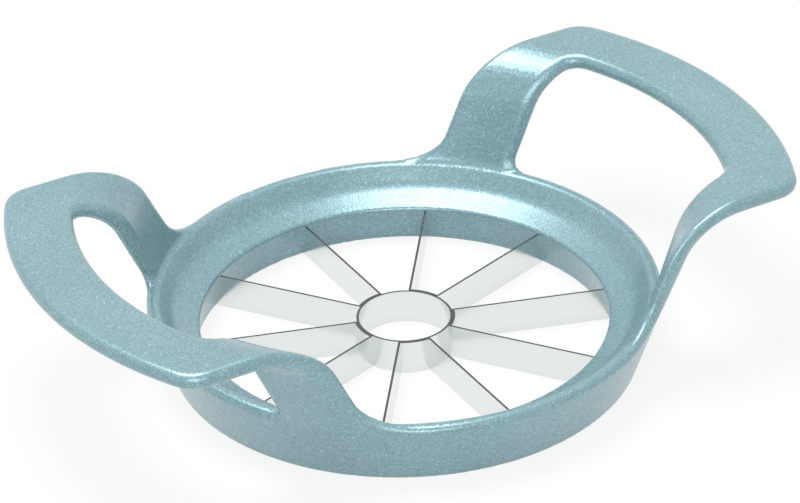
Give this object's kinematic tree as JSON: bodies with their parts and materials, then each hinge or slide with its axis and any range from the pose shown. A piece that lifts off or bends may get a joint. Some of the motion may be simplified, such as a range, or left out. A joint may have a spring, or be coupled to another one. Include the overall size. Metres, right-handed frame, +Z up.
{
  "type": "hand fruit divider",
  "caption": "Hand-pushed fruit divider: a cast ring with raised loop grips on both sides, a central core ring and bent steel blade strips that radiate to the ring wall.",
  "frame": {"origin": "centre of the ring, on the surface it stands on", "axes": "+X from the centre through one grip, +Z up, away from the cutting side"},
  "size_m": [0.1656, 0.109, 0.0394],
  "materials": {
    "lacquer": "satin metallic silver-blue lacquer with fine sparkle",
    "blade_steel": "polished stainless strip"
  },
  "bodies": {
    "root": {"frame_casting": "lacquer", "core_ring": "blade_steel", "blade_strip_1": "blade_steel", "blade_strip_2": "blade_steel", "blade_strip_3": "blade_steel", "blade_strip_4": "blade_steel", "blade_strip_5": "blade_steel"}
  },
  "joints": []
}
